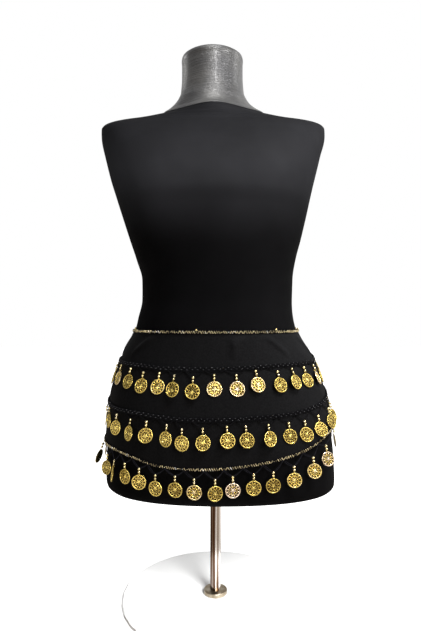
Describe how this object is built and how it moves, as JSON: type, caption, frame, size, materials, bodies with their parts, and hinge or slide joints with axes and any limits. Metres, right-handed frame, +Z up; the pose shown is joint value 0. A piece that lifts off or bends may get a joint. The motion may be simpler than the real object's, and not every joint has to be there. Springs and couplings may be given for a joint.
{
  "type": "belly dance belt on a limbless dress form",
  "caption": "Black crepe hip scarf with a beaded top edging and rows of coins on beaded loops, tied behind, on a limbless display torso with a pole stand.",
  "frame": {"origin": "middle of the base plate's underside, on the pole's axis, where the stand rests on the floor", "axes": "+Z up along the pole; the wearer would face -Y; +X is to the right in the picture"},
  "size_m": [0.3538, 0.28, 0.814],
  "materials": {
    "enamel": "white gloss enamel",
    "chrome": "polished",
    "cover": "stretched matt jersey",
    "neck": "pearl grey gloss",
    "crepe": "dull crepe with a soft sheen",
    "black_beads": "glossy black seed beads on black thread",
    "beads": "bright gold and silver seed beads",
    "coins": "polished stamped gold-coloured metal"
  },
  "bodies": {
    "root": {"base_plate": "enamel", "base_flange": "chrome", "pole": "chrome", "form_torso": "cover", "form_neck": "neck", "belt_cloth": "crepe", "belt_knot": "crepe", "belt_tail_left": "crepe", "belt_tail_right": "crepe", "top_edging": "beads", "coin_row_1": "coins", "coin_row_2": "coins", "coin_row_3": "coins"}
  },
  "joints": []
}
